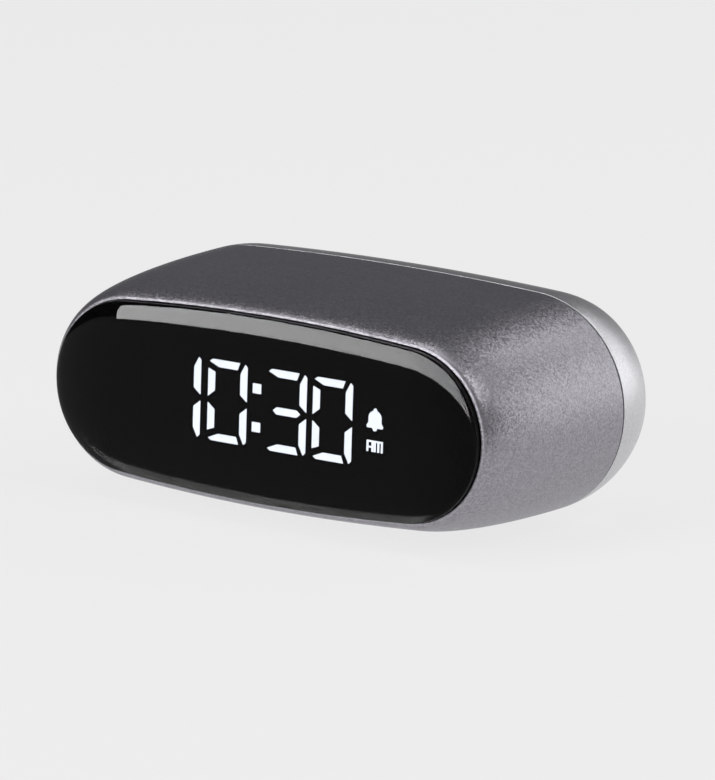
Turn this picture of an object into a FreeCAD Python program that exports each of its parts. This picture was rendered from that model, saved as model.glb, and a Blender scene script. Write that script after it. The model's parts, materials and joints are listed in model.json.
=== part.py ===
import FreeCAD, Part
import math
import os

# Pill-shaped digital alarm clock, in millimetres
# Depths are measured back (+Y) from the front rim, heights (+Z) from the case's mid line.
# save() moves every piece to the part's origin, the bottom centre of its bounding box.

# Case outline
case_width = 98.0
case_height = 40.2
case_roundness = 0.962
front_width = 88.7
front_height = 33.4
front_roundness = 0.93
body_depth = 36.8
cover_depth = 13.0
cover_side_draw = 3.6
cover_top_draw = 3.0
cover_edge_radius = 2.5
cover_edge_start = 24.0
wall = 2.0
reveal_width = 0.35
reveal_depth = 0.45
spigot_reach = 3.0
spigot_wall = 1.2
spigot_clearance = 0.12
shoulder_depth = 2.0
shoulder_margin = 0.6

# Front lens and its seat
rim_lip = 0.25
lens_gap = 0.15
lens_side = 1.0
lens_crown = 1.2
lens_crown_width = 12.0
lens_back = 1.6
mask_thickness = 0.1
mask_window_width = 53.0
mask_window_height = 18.4
tape_thickness = 0.2
tape_inset = 0.6
tape_margin = 1.0
front_wall = 1.5

# Display
glass_width = 58.0
glass_height = 20.0
glass_thickness = 2.0
glass_margin = 0.6
segment_thickness = 0.2
lens_air = 0.2
backlight_thickness = 2.5
tens_of_hours_x = -18.3
hours_x = -8.55
tens_of_minutes_x = 3.87
minutes_x = 13.37
digit_middle = 0.12
colon_x = -2.4
colon_rise = 3.38
colon_width = 1.65
colon_height = 1.68

# Strokes of a digit, measured from its middle
digit_half_width = 4.05
digit_half_height = 7.1
upright_stroke = 1.35
level_stroke = 1.25
upright_gap = 0.58
upright_slant = 1.08
tall_point = 6.95
tall_point_inset = 0.44
tall_shoulder = 6.5
tall_inner_end = 5.27
short_end = 5.4
short_inner_end = 4.9
level_tip = 3.8
level_tip_drop = 0.42
level_left = 3.2
level_right = 2.42
level_inner_left = 1.84
level_inner_right = 1.95
middle_tip = 2.8
middle_flat = 2.05

# Bell and letters beside the time
bell_x = 22.15
bell_foot = 0.1
bell_lip = 0.35
bell_half_width = 1.68
bell_lip_inset = 0.15
bell_waist = 1.28
bell_skirt = 1.0
bell_shoulder = 2.0
bell_top = 3.1
bell_knob_radius = 0.3
bell_knob_rise = 0.1
clapper_top = 0.48
clapper_end = 0.24
clapper_drop = 0.5
mark_left = 20.6
mark_top = -2.1
mark_height = 1.95
mark_stroke = 0.3
mark_bar_drop = 1.0
letter_a_width = 1.33
letter_m_width = 1.75
letter_gap = 0.18

# Pins from the display to the main board
pin_count = 24
pin_pitch = 2.0
pin_width = 0.5
pin_thickness = 0.25
pin_foot = 0.35
pin_slot_margin = 0.3
pin_clip_setback = 0.4
pin_clip_length = 0.8

# Display carrier and main board
carrier_width = 74.0
carrier_height = 24.0
carrier_corner = 4.0
carrier_plate = 1.4
tray_wall = 1.2
tray_clearance = 0.2
tray_front_gap = 0.2
board_width = 74.0
board_height = 26.0
board_thickness = 1.6
board_standoff = 1.6
board_screw_x = 33.5
board_screw_z = 8.5
board_boss_radius = 2.4

# Chips on the boards: (x, z, width, height, thickness) each, and rows of small parts
passive_width = 1.6
passive_height = 0.9
passive_thickness = 0.8
passive_inset = 3.5
passive_first = -19.0
passive_pitch = 3.2
passive_count = 6
main_chip_sizes = [
    (-9.0, -2.0, 9.0, 9.0, 1.4),
    (14.0, -3.0, 6.0, 6.0, 1.1),
    (-22.0, 4.0, 7.0, 4.0, 1.5),
    (23.5, 4.5, 3.2, 1.6, 0.8),
]

# Screws
small_screw_radius = 1.0
small_head_radius = 1.9
small_head_height = 1.3
board_screw_length = 7.0
rear_screw_length = 8.0
cover_screw_radius = 1.25
cover_head_radius = 2.2
cover_head_height = 1.5
cover_screw_length = 10.0
cover_screw_inset = 8.5
thread_clearance = 0.03
through_clearance = 0.2
recess_width = 0.45
recess_length_share = 0.6
recess_depth_share = 0.6
head_edge_share = 0.33

# Cover screw posts
body_post_radius = 3.0
cover_post_radius = 3.2
post_gap = 0.2
post_seat = 1.8
post_rib = 1.6
pilot_spare = 1.0
head_clearance = 0.2

# Rear board
rear_board_left = -13.0
rear_board_right = 36.0
rear_board_height = 26.0
rear_board_thickness = 1.2
rear_board_gap = 6.6
rear_board_corner = 1.0
rear_boss_radius = 2.4
rear_boss_inset = 3.5
tray_plate = 1.4
tray_spacer = 2.0
filter_width = 1.6
filter_height = 0.8
filter_thickness = 0.7
filter_first = -6.0
filter_pitch = 2.6
filter_z = -2.6
filter_count = 4
rear_chip_sizes = [
    (1.0, -7.0, 4.0, 4.0, 0.9),
    (-4.5, -9.5, 3.0, 3.0, 1.6),
    (31.5, 1.5, 3.0, 3.0, 1.2),
]

# Rear keys
key_height = 5.0
key_first_x = 0.0
key_pitch = 11.5
key_cap_radius = 3.5
key_hole_clearance = 0.15
key_proud = 0.8
key_flange_radius = 4.5
key_flange = 1.0
key_flange_gap = 0.1
key_stem_radius = 1.4
key_stem_gap = 0.05
key_edge = 0.4
switch_side = 6.0
switch_depth = 3.5
plunger_radius = 1.75
plunger_clearance = 0.05
plunger_proud = 1.0
plunger_sunk = 1.4
plunger_well = 2.0

# Alarm on and off slide switch
slide_rest = 21.5
slide_travel = 3.0
slide_height = -7.0
knob_width = 3.6
knob_height = 2.6
knob_proud = 0.6
knob_clearance = 0.1
knob_flange_width = 9.0
knob_flange_height = 5.0
slide_body_width = 9.0
slide_body_height = 4.0
lever_side = 1.5
lever_sunk = 1.4
lever_slot_clearance = 0.15
lever_slot_depth = 1.7
lever_reach = 0.5
knob_pocket = 0.7
knob_groove = 0.3
knob_groove_count = 3

# Charging inlet
inlet_x = 11.0
inlet_z = -7.0
inlet_width = 8.94
inlet_height = 3.16
inlet_wall = 0.3
inlet_recess = 0.3
inlet_hole_clearance = 0.2
inlet_floor = 1.8
tongue_width = 6.7
tongue_thickness = 0.7
tongue_recess = 0.7

# Battery
battery_width = 35.0
battery_height = 30.0
battery_thickness = 10.0
battery_corner = 1.5
battery_tape = 0.4
battery_tape_margin = 0.5
battery_centre = 11.5
lead_radius = 0.5
lead_bend = 1.4
battery_lead_z = 3.2
battery_lead_pitch = 2.4
battery_lead_depth = 5.0
lead_side_gap = 1.5
lead_straight = 0.9
lead_tail = 0.4

# Speaker
speaker_x = -25.0
speaker_radius = 10.0
speaker_rim = 1.5
speaker_flange = 0.5
speaker_basket = 3.8
magnet_radius = 6.0
magnet_depth = 2.2
basket_floor = 0.8
basket_wall = 0.5
basket_step = 0.2
gasket_thickness = 0.5
gasket_width = 2.5
cone_thickness = 0.3
cone_drop = 1.6
cap_radius = 3.0
cap_shoulder_radius = 1.8
cap_shoulder_rise = 0.4
cap_rise = 0.6
holder_gap = 0.3
holder_wall = 1.2
holder_reach = 2.3
grille_hole_radius = 0.65
grille_ring_pitch = 2.2
grille_rings = 3
speaker_lead_z = -3.5
speaker_lead_pitch = 2.0
speaker_lead_gap = 0.1
holder_lead_gap = 0.25

# Ribbon between the boards
ribbon_x = 5.0
ribbon_width = 8.0
ribbon_thickness = 0.3
ribbon_rise = 0.8
ribbon_bend = 1.6
plug_height = 2.4
plug_depth = 1.5
plug_margin = 1.0
plug_inset = 0.2

# Foot pad
pad_width = 44.0
pad_start = 18.0
pad_length = 18.0
pad_sink = 1.2
pad_proud = 0.4
pad_clearance = 0.1

# Depths worked out from the sizes above
lens_proud = lens_side + lens_crown
lens_seat = lens_back + mask_thickness + tape_thickness
wall_back = lens_seat + front_wall
segment_front = lens_back + mask_thickness + lens_air
glass_front = segment_front + segment_thickness
glass_back = glass_front + glass_thickness
carrier_floor = glass_back + backlight_thickness
carrier_back = carrier_floor + carrier_plate
board_front = carrier_back + board_standoff
board_back = board_front + board_thickness
cover_back = body_depth + cover_depth
cover_inside = cover_back - wall
rear_board_back = cover_inside - rear_board_gap
rear_board_front = rear_board_back - rear_board_thickness
tray_back = rear_board_front - tray_spacer
tray_front = tray_back - tray_plate
battery_back = tray_front - battery_tape
battery_front = battery_back - battery_thickness
pad_bottom = case_height / 2 + pad_proud
pad_floor = case_height / 2 - pad_sink
cover_screw_x = case_width / 2 - cover_screw_inset

# Place of the rim and the mid line in the part's own frame
rim_y = (lens_proud - cover_back - key_proud) / 2
mid_z = pad_bottom

ALONG = FreeCAD.Vector(0, 1, 0)

# How far a cut runs past the face it opens, and how near two depths count as one
OVERCUT = 1.0
NEAR = 0.01

# Fineness of the curved forms
ARC_STEPS = 16
OUTSIDE_BANDS = 16
INSIDE_BANDS = 8
EDGE_BANDS = 8


def point(x, depth, z):
    return FreeCAD.Vector(x, depth, z)


def save(name, shape):
    """Write one piece to its file, moved to the part's origin."""
    piece = shape.copy()
    piece.translate(FreeCAD.Vector(0, rim_y, mid_z))
    piece.exportStep("parts/" + name + ".step")
    solids = len(piece.Solids)
    print(name, "solids", solids, "volume", round(piece.Volume, 2), "valid", piece.isValid())


# Outlines: (half width, half height, end radius) of an oval with two end arcs and two flat arcs

def shrink(outline, inset):
    """The parallel outline that lies an inset inside another."""
    half_width, half_height, end_radius = outline
    return (half_width - inset, half_height - inset, end_radius - inset)


def body_outline(depth):
    """The body's outside, which swells from the rim to the parting line by a quarter ellipse."""
    share = min(depth / body_depth, 1.0)
    swell = math.sqrt(1.0 - (1.0 - share) ** 2)
    half_width = (front_width + (case_width - front_width) * swell) / 2
    half_height = (front_height + (case_height - front_height) * swell) / 2
    roundness = front_roundness + (case_roundness - front_roundness) * swell
    return (half_width, half_height, roundness * half_height)


def cover_outline(depth):
    """The rear cover's outside, which draws in behind the parting line."""
    share = ((depth - body_depth) / cover_depth) ** 2
    half_width = case_width / 2 - cover_side_draw * share
    half_height = case_height / 2 - cover_top_draw * share
    return (half_width, half_height, case_roundness * half_height)


def opening_outline():
    """The opening in the front rim that takes the lens."""
    return shrink(body_outline(0.0), rim_lip)


def oval_points(outline, depth):
    """Points at even turns along the right end arc, the top arc, the left end arc and the bottom arc."""
    half_width, half_height, end_radius = outline
    end_x = half_width - end_radius
    flat_radius = (end_x ** 2 + half_height ** 2 - end_radius ** 2) / (2 * (half_height - end_radius))
    drop = flat_radius - half_height
    turn = math.atan2(drop, end_x)
    points = []
    for step in range(ARC_STEPS):
        angle = turn * (2.0 * step / ARC_STEPS - 1.0)
        points.append((end_x + end_radius * math.cos(angle), end_radius * math.sin(angle)))
    for step in range(ARC_STEPS):
        angle = turn + (math.pi - 2 * turn) * step / ARC_STEPS
        points.append((flat_radius * math.cos(angle), flat_radius * math.sin(angle) - drop))
    points += [(-x, -z) for x, z in points]
    return [point(x, depth, z) for x, z in points]


def running_lengths(points):
    """Share of the way round at each point of a closed outline, from 0 to 1."""
    lengths = [0.0]
    for here, there in zip(points, points[1:] + points[:1]):
        lengths.append(lengths[-1] + here.distanceToPoint(there))
    return [length / lengths[-1] for length in lengths]


def oval_wire(outline, depth):
    """The outline as one smooth closed curve; every section runs round it at the same rate."""
    curve = Part.BSplineCurve()
    rate = running_lengths(oval_points(body_outline(body_depth), 0.0))
    curve.interpolate(Points=oval_points(outline, depth), PeriodicFlag=True, Parameters=rate)
    return Part.Wire([curve.toShape()])


def oval_prism(outline, start, end):
    face = Part.Face(oval_wire(outline, start))
    return face.extrude(point(0, end - start, 0))


def skin(sections):
    """Solid of narrow bands through (outline, depth) pairs."""
    wires = [oval_wire(outline, depth) for outline, depth in sections]
    return Part.makeLoft(wires, True, True)


def even_steps(start, end, count):
    """Values from start to end, both included."""
    return [start + (end - start) * step / count for step in range(count + 1)]


# Plain shapes

def box(x_low, x_high, start, end, z_low, z_high):
    return Part.makeBox(x_high - x_low, end - start, z_high - z_low, point(x_low, start, z_low))


def centred_box(x, z, width, height, start, end):
    return box(x - width / 2, x + width / 2, start, end, z - height / 2, z + height / 2)


def rod(x, z, radius, start, end):
    """Cylinder along the depth."""
    return Part.makeCylinder(radius, end - start, point(x, start, z), ALONG)


def ring(x, z, outer, inner, start, end):
    return rod(x, z, outer, start, end).cut(rod(x, z, inner, start, end))


def rounded_plate(x, z, width, height, corner, start, end):
    plate = centred_box(x, z, width, height, start, end)
    edges = [edge for edge in plate.Edges if abs(edge.tangentAt(edge.FirstParameter).y) > 1 - NEAR]
    return plate.makeFillet(corner, edges)


def outline_prism(corners, start, end):
    """Prism along the depth from a list of (x, z) corners."""
    ends = [point(x, start, z) for x, z in corners]
    face = Part.Face(Part.makePolygon(ends + ends[:1]))
    return face.extrude(point(0, end - start, 0))


def turned(profile, x, z):
    """Solid turned about the depth axis through (x, z) from (radius, depth) corners."""
    ends = [point(x + radius, depth, z) for radius, depth in profile]
    face = Part.Face(Part.makePolygon(ends + ends[:1]))
    return face.revolve(point(x, 0, z), ALONG, 360)


def level_edges(shape, depth):
    """Edges that lie in the plane at a depth."""
    boxes = [(edge, edge.BoundBox) for edge in shape.Edges]
    return [edge for edge, room in boxes if room.YLength < NEAR and abs(room.YMin - depth) < NEAR]


def group(shapes):
    return Part.makeCompound(shapes)


def bent_path(corners, bend):
    """Straight runs joined by tangent arcs."""
    edges = []
    start = corners[0]
    for before, corner, after in zip(corners, corners[1:], corners[2:]):
        towards_start = (before - corner).normalize()
        towards_end = (after - corner).normalize()
        half_angle = towards_start.getAngle(towards_end) / 2
        cut_back = bend / math.tan(half_angle)
        arc_start = corner + towards_start * cut_back
        arc_end = corner + towards_end * cut_back
        inward = (towards_start + towards_end).normalize()
        arc_middle = corner + inward * (bend / math.sin(half_angle) - bend)
        edges.append(Part.LineSegment(start, arc_start).toShape())
        edges.append(Part.Arc(arc_start, arc_middle, arc_end).toShape())
        start = arc_end
    edges.append(Part.LineSegment(start, corners[-1]).toShape())
    return Part.Wire(edges)


def lead(corners, radius, bend):
    """Round wire along a bent path, with its volume set against its length."""
    path = bent_path(corners, bend)
    direction = (corners[1] - corners[0]).normalize()
    section = Part.Wire([Part.makeCircle(radius, corners[0], direction)])
    solid = path.makePipeShell([section], True, False)
    print("lead volume share", round(solid.Volume / (math.pi * radius ** 2 * path.Length), 4))
    return solid


def screw(x, z, seat, facing, radius, head_radius, head_height, length):
    """Round-headed screw with a cross recess; its head stands on the seat and faces forward or back."""
    shank_end = seat - facing * length
    head_end = seat + facing * head_height
    shank = rod(x, z, radius, min(seat, shank_end), max(seat, shank_end))
    head = rod(x, z, head_radius, min(seat, head_end), max(seat, head_end))
    head = head.makeFillet(head_height * head_edge_share, level_edges(head, head_end))
    recess_floor = head_end - facing * head_height * recess_depth_share
    low = min(recess_floor, head_end)
    high = max(recess_floor, head_end)
    recess_length = 2 * head_radius * recess_length_share
    head = head.cut(centred_box(x, z, recess_length, recess_width, low, high))
    head = head.cut(centred_box(x, z, recess_width, recess_length, low, high))
    return shank.fuse(head).removeSplitter()


# Places of the fasteners and the keys

def board_screw_places():
    return [(sx * board_screw_x, sz * board_screw_z) for sx in (-1, 1) for sz in (-1, 1)]


def rear_screw_places():
    left = rear_board_left + rear_boss_inset
    right = rear_board_right - rear_boss_inset
    rise = rear_board_height / 2 - rear_boss_inset
    return [(x, sz * rise) for x in (left, right) for sz in (-1, 1)]


def cover_screw_places():
    return [(-cover_screw_x, 0.0), (cover_screw_x, 0.0)]


def key_places():
    names = ("set", "up", "down")
    return [(name, key_first_x + index * key_pitch) for index, name in enumerate(names)]


# Case

def pad_outline(margin):
    """Rounded strip under the belly, grown by a margin, from its floor height down."""
    end_radius = pad_length / 2 + margin
    middle = pad_start + pad_length / 2
    reach = pad_width / 2 - pad_length / 2
    height = pad_bottom - pad_floor
    strip = Part.makeBox(2 * reach, 2 * end_radius, height, point(-reach, middle - end_radius, -pad_bottom))
    for side in (-1, 1):
        end = Part.makeCylinder(end_radius, height, point(side * reach, middle, -pad_bottom))
        strip = strip.fuse(end)
    return strip.removeSplitter()


def body_skin(first_depth, inset, bands):
    """The swelling form from a depth to the parting line, less an inset all round."""
    first_turn = math.acos(1.0 - first_depth / body_depth)
    depths = [body_depth * (1.0 - math.cos(turn)) for turn in even_steps(first_turn, math.pi / 2, bands)]
    return skin([(shrink(body_outline(depth), inset), depth) for depth in depths])


def body_post(x, z, outside):
    """Screw post from the front wall to the parting line, ribbed to the side wall."""
    start = wall_back - front_wall / 2
    end = body_depth - post_gap
    post = rod(x, z, body_post_radius, start, end)
    side_wall = math.copysign(case_width / 2, x)
    rib_end = body_depth - spigot_reach - post_gap
    rib = centred_box((x + side_wall) / 2, z, abs(side_wall - x), post_rib, start, rib_end)
    post = post.fuse(rib.common(outside))
    pilot_start = body_depth + post_seat - cover_screw_length - pilot_spare
    return post.cut(rod(x, z, cover_screw_radius + thread_clearance, pilot_start, end))


def body_shell():
    outside = body_skin(0.0, 0.0, OUTSIDE_BANDS)
    shell = outside.cut(body_skin(wall_back, wall, INSIDE_BANDS))
    shell = shell.cut(oval_prism(opening_outline(), -OVERCUT, lens_seat))
    window_width = glass_width + 2 * glass_margin
    window_height = glass_height + 2 * glass_margin
    shell = shell.cut(centred_box(0, 0, window_width, window_height, 0.0, wall_back + OVERCUT))
    for x, z in board_screw_places():
        boss = rod(x, z, board_boss_radius, wall_back - front_wall / 2, carrier_floor)
        boss = boss.cut(rod(x, z, small_screw_radius + thread_clearance, wall_back, carrier_floor))
        shell = shell.fuse(boss)
    for x, z in cover_screw_places():
        shell = shell.fuse(body_post(x, z, outside))
    shell = shell.cut(pad_outline(pad_clearance))
    return shell.removeSplitter()


def foot_pad():
    pad = pad_outline(0.0)
    edges = [edge for edge in pad.Edges if edge.BoundBox.ZMax < NEAR - pad_bottom]
    return pad.makeFillet(pad_proud / 2, edges)


# Lens and display

def lens_outline():
    return shrink(opening_outline(), lens_gap)


def front_lens():
    """Panel that stands proud of the rim, with an upright side and a crowned face."""
    sections = []
    for turn in even_steps(0.0, math.pi / 2, EDGE_BANDS):
        inset = lens_crown_width * (1.0 - math.cos(turn))
        sections.append((shrink(lens_outline(), inset), -lens_side - lens_crown * math.sin(turn)))
    front = skin(sections)
    back = oval_prism(lens_outline(), -lens_side, lens_back)
    return back.fuse(front).removeSplitter()


def lens_mask():
    end = lens_back + mask_thickness
    sheet = oval_prism(lens_outline(), lens_back, end)
    return sheet.cut(centred_box(0, 0, mask_window_width, mask_window_height, lens_back, end))


def lens_tape():
    start = lens_back + mask_thickness
    frame = oval_prism(shrink(lens_outline(), tape_inset), start, lens_seat)
    hole_width = glass_width + 2 * (glass_margin + tape_margin)
    hole_height = glass_height + 2 * (glass_margin + tape_margin)
    return frame.cut(centred_box(0, 0, hole_width, hole_height, start, lens_seat))


def lcd_glass():
    return centred_box(0, 0, glass_width, glass_height, glass_front, glass_back)


def backlight():
    return centred_box(0, 0, glass_width, glass_height, glass_back, carrier_floor)


def tall_stroke(half):
    """Right-hand upright, with a point past the level stroke; half is 1 above the middle, -1 below."""
    inner = digit_half_width - upright_stroke
    corners = [
        (digit_half_width, upright_gap), (digit_half_width, tall_shoulder),
        (digit_half_width - tall_point_inset, tall_point), (inner, tall_inner_end),
        (inner, upright_gap + upright_slant),
    ]
    return [(x, half * z) for x, z in corners]


def short_stroke(half):
    """Left-hand upright, which stops under the level stroke's tip."""
    inner = upright_stroke - digit_half_width
    corners = [
        (-digit_half_width, upright_gap), (-digit_half_width, short_end),
        (inner, short_inner_end), (inner, upright_gap + upright_slant),
    ]
    return [(x, half * z) for x, z in corners]


def level_bar(half):
    """Top or bottom stroke, with a long tip on its left."""
    inner = digit_half_height - level_stroke
    corners = [
        (-level_left, digit_half_height), (level_right, digit_half_height), (level_inner_right, inner),
        (-level_inner_left, inner), (-level_tip, digit_half_height - level_tip_drop),
    ]
    return [(x, half * z) for x, z in corners]


def middle_bar():
    rise = level_stroke / 2
    right = [(middle_flat, -rise), (middle_tip, 0.0), (middle_flat, rise)]
    return right + [(-x, z) for x, z in reversed(right)]


STROKES = {
    "top": level_bar(1), "middle": middle_bar(), "bottom": level_bar(-1),
    "upper_right": tall_stroke(1), "lower_right": tall_stroke(-1),
    "upper_left": short_stroke(1), "lower_left": short_stroke(-1),
}
ONE = ("upper_right", "lower_right")
THREE = ONE + ("top", "middle", "bottom")
NOUGHT = ONE + ("top", "bottom", "upper_left", "lower_left")


def stroke_prism(corners):
    return outline_prism(corners, segment_front, glass_front)


def time_digits():
    """The lit strokes of half past ten."""
    digits = [(tens_of_hours_x, ONE), (hours_x, NOUGHT), (tens_of_minutes_x, THREE), (minutes_x, NOUGHT)]
    solids = []
    for centre, names in digits:
        for name in names:
            solids.append(stroke_prism([(centre + x, digit_middle + z) for x, z in STROKES[name]]))
    return group(solids)


def colon_dots():
    dots = []
    for side in (-1, 1):
        z = side * colon_rise
        dots.append(centred_box(colon_x, z, colon_width, colon_height, segment_front, glass_front))
    return group(dots)


def alarm_icon():
    """A bell: domed cup with a flared lip, a knob on top and a clapper below."""

    def at(aside, z):
        return point(bell_x + aside, segment_front, z)

    lip_top = bell_foot + bell_lip
    foot_half = bell_half_width - bell_lip_inset
    half = [at(foot_half, bell_foot), at(bell_half_width, lip_top), at(bell_waist, bell_skirt)]
    half.append(at(bell_waist, bell_shoulder))
    mirrored = [at(bell_x - corner.x, corner.z) for corner in half]
    edges = [Part.LineSegment(here, there) for here, there in zip(half, half[1:])]
    edges.append(Part.Arc(half[-1], at(0, bell_top), mirrored[-1]))
    edges += [Part.LineSegment(there, here) for here, there in zip(mirrored, mirrored[1:])]
    edges.append(Part.LineSegment(mirrored[0], half[0]))
    wire = Part.Wire(Part.sortEdges([edge.toShape() for edge in edges])[0])
    cup = Part.Face(wire).extrude(point(0, segment_thickness, 0))
    knob = rod(bell_x, bell_top + bell_knob_rise, bell_knob_radius, segment_front, glass_front)
    ends = [(-clapper_top, lip_top), (clapper_top, lip_top), (clapper_top, bell_foot)]
    ends += [(clapper_end, bell_foot - clapper_drop), (-clapper_end, bell_foot - clapper_drop)]
    ends.append((-clapper_top, bell_foot))
    clapper = stroke_prism([(bell_x + x, z) for x, z in ends])
    return cup.fuse([knob, clapper]).removeSplitter()


def letter(left, width, legs):
    """Square-stroked letter: a top bar over evenly spaced legs."""
    foot = mark_top - mark_height
    strokes = [box(left, left + width, segment_front, glass_front, mark_top - mark_stroke, mark_top)]
    for index in range(legs):
        start = left + (width - mark_stroke) * index / (legs - 1)
        strokes.append(box(start, start + mark_stroke, segment_front, glass_front, foot, mark_top))
    return strokes


def morning_mark():
    """The plain letters A and M in square strokes."""
    first = letter(mark_left, letter_a_width, 2)
    bar = mark_top - mark_bar_drop
    right = mark_left + letter_a_width
    first.append(box(mark_left, right, segment_front, glass_front, bar - mark_stroke, bar))
    second = letter(right + letter_gap, letter_m_width, 3)
    return group([strokes[0].fuse(strokes[1:]).removeSplitter() for strokes in (first, second)])


def pin_places():
    first = -pin_pitch * (pin_count - 1) / 2
    return [first + index * pin_pitch for index in range(pin_count)]


def lcd_pins():
    """Row of pins from the glass's lower edge back to the main board."""
    edge = -glass_height / 2
    low = edge - pin_foot - pin_thickness
    start = glass_front + pin_clip_setback
    pins = []
    for x in pin_places():
        left = x - pin_width / 2
        right = x + pin_width / 2
        shaft = box(left, right, start, board_front, low, low + pin_thickness)
        clip = box(left, right, start, start + pin_clip_length, low, edge)
        pins.append(shaft.fuse(clip).removeSplitter())
    return group(pins)


def display_carrier():
    """Plate with a shallow tray for the glass and the backlight, and spacers for the board."""
    carrier = rounded_plate(0, 0, carrier_width, carrier_height, carrier_corner, carrier_floor, carrier_back)
    inner_width = glass_width + 2 * tray_clearance
    inner_height = glass_height + 2 * tray_clearance
    outer_width = inner_width + 2 * tray_wall
    outer_height = inner_height + 2 * tray_wall
    start = wall_back + tray_front_gap
    tray = centred_box(0, 0, outer_width, outer_height, start, carrier_floor)
    tray = tray.cut(centred_box(0, 0, inner_width, inner_height, start, carrier_floor))
    carrier = carrier.fuse(tray)
    for x, z in board_screw_places():
        carrier = carrier.fuse(rod(x, z, board_boss_radius, carrier_floor, board_front))
    for x, z in board_screw_places():
        carrier = carrier.cut(rod(x, z, small_screw_radius + through_clearance, carrier_floor, board_front))
    slot_top = -glass_height / 2 - pin_foot + pin_slot_margin
    slot_bottom = -glass_height / 2 - pin_foot - pin_thickness - pin_slot_margin
    slot_half = pin_pitch * pin_count / 2
    pin_slot = box(-slot_half, slot_half, start, carrier_back, slot_bottom, slot_top)
    return carrier.cut(pin_slot).removeSplitter()


# Main board

def main_board():
    board = rounded_plate(0, 0, board_width, board_height, carrier_corner, board_front, board_back)
    for x, z in board_screw_places():
        board = board.cut(rod(x, z, small_screw_radius + through_clearance, board_front, board_back))
    return board


def chips(start, sizes):
    """Blocks that stand back from a board: (x, z, width, height, thickness) each."""
    return group([centred_box(x, z, width, height, start, start + thickness)
                  for x, z, width, height, thickness in sizes])


def main_board_chips():
    sizes = list(main_chip_sizes)
    row = passive_inset - board_height / 2
    for index in range(passive_count):
        x = passive_first + passive_pitch * index
        sizes.append((x, row, passive_width, passive_height, passive_thickness))
    return chips(board_back, sizes)


def board_screws():
    sizes = (small_screw_radius, small_head_radius, small_head_height, board_screw_length)
    return group([screw(x, z, board_back, 1, *sizes) for x, z in board_screw_places()])


# Rear cover

def cover_outside():
    """The drawn-in side, then a rounded edge down to the flat back."""
    edge_start = math.radians(cover_edge_start)
    side_depth = body_depth + cover_depth - cover_edge_radius * (1.0 - math.sin(edge_start))
    sections = [(cover_outline(depth), depth) for depth in even_steps(body_depth, side_depth, INSIDE_BANDS)]
    for turn in even_steps(edge_start, math.pi / 2, EDGE_BANDS)[1:]:
        inset = cover_edge_radius * (math.cos(edge_start) - math.cos(turn))
        depth = side_depth + cover_edge_radius * (math.sin(turn) - math.sin(edge_start))
        sections.append((shrink(cover_outline(side_depth), inset), depth))
    return skin(sections)


def cover_inside_space():
    depths = even_steps(body_depth, cover_inside, INSIDE_BANDS)
    return skin([(shrink(cover_outline(depth), wall), depth) for depth in depths])


def cover_rings():
    """Reveal groove, inner shoulder and the spigot that enters the body."""
    inner = shrink(body_outline(body_depth - spigot_reach), wall + spigot_clearance + spigot_wall)
    spigot_outer = shrink(body_outline(body_depth - spigot_reach), wall + spigot_clearance)
    shoulder_outer = shrink(cover_outline(body_depth + shoulder_depth), shoulder_margin)
    start = body_depth - spigot_reach
    spigot = oval_prism(spigot_outer, start, body_depth + shoulder_depth)
    shoulder = oval_prism(shoulder_outer, body_depth, body_depth + shoulder_depth)
    hollow = oval_prism(inner, start, body_depth + shoulder_depth)
    return spigot.fuse(shoulder).cut(hollow)


def cover_post(x, z):
    """Tube that takes a screw's head down to the body's post."""
    return rod(x, z, cover_post_radius, body_depth, cover_inside + wall / 2)


def grille_places():
    places = [(speaker_x, 0.0)]
    for ring_index in range(1, grille_rings + 1):
        count = 6 * ring_index
        for index in range(count):
            turn = 2 * math.pi * index / count
            radius = grille_ring_pitch * ring_index
            places.append((speaker_x + radius * math.cos(turn), radius * math.sin(turn)))
    return places


def rounded_slot(x, z, width, height, start, end):
    """Slot with half-round ends, along the depth."""
    reach = (width - height) / 2
    bar = centred_box(x, z, 2 * reach, height, start, end)
    ends = [rod(x + side * reach, z, height / 2, start, end) for side in (-1, 1)]
    return bar.fuse(ends).removeSplitter()


def rear_cover():
    outer = cover_outline(body_depth)
    reveal = oval_prism(shrink(outer, -OVERCUT), body_depth, body_depth + reveal_width)
    reveal = reveal.cut(oval_prism(shrink(outer, reveal_depth), body_depth, body_depth + reveal_width))
    cover = cover_outside().cut(cover_inside_space())
    cover = cover.cut(reveal).fuse(cover_rings())
    root = cover_inside + wall / 2
    holder_radius = speaker_radius + holder_gap
    holder_start = cover_inside - holder_reach
    cover = cover.fuse(ring(speaker_x, 0, holder_radius + holder_wall, holder_radius, holder_start, root))
    for x, z in rear_screw_places():
        cover = cover.fuse(rod(x, z, rear_boss_radius, rear_board_back, root))
    for x, z in cover_screw_places():
        cover = cover.fuse(cover_post(x, z))
    start = cover_inside - OVERCUT
    reach = cover_back + OVERCUT
    for x, z in rear_screw_places():
        cover = cover.cut(rod(x, z, small_screw_radius + thread_clearance, rear_board_back, cover_inside))
    for x, z in cover_screw_places():
        cover = cover.cut(rod(x, z, cover_screw_radius + through_clearance, body_depth, reach))
        cover = cover.cut(rod(x, z, cover_head_radius + head_clearance, body_depth + post_seat, reach))
    for x, z in grille_places():
        cover = cover.cut(rod(x, z, grille_hole_radius, start, reach))
    for name, x in key_places():
        cover = cover.cut(rod(x, key_height, key_cap_radius + key_hole_clearance, start, reach))
    slot_width = knob_width + slide_travel + 2 * knob_clearance
    slot_height = knob_height + 2 * knob_clearance
    slot_centre = slide_rest + slide_travel / 2
    cover = cover.cut(centred_box(slot_centre, slide_height, slot_width, slot_height, start, reach))
    hole_width = inlet_width + 2 * inlet_hole_clearance
    hole_height = inlet_height + 2 * inlet_hole_clearance
    return cover.cut(rounded_slot(inlet_x, inlet_z, hole_width, hole_height, start, reach))


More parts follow.
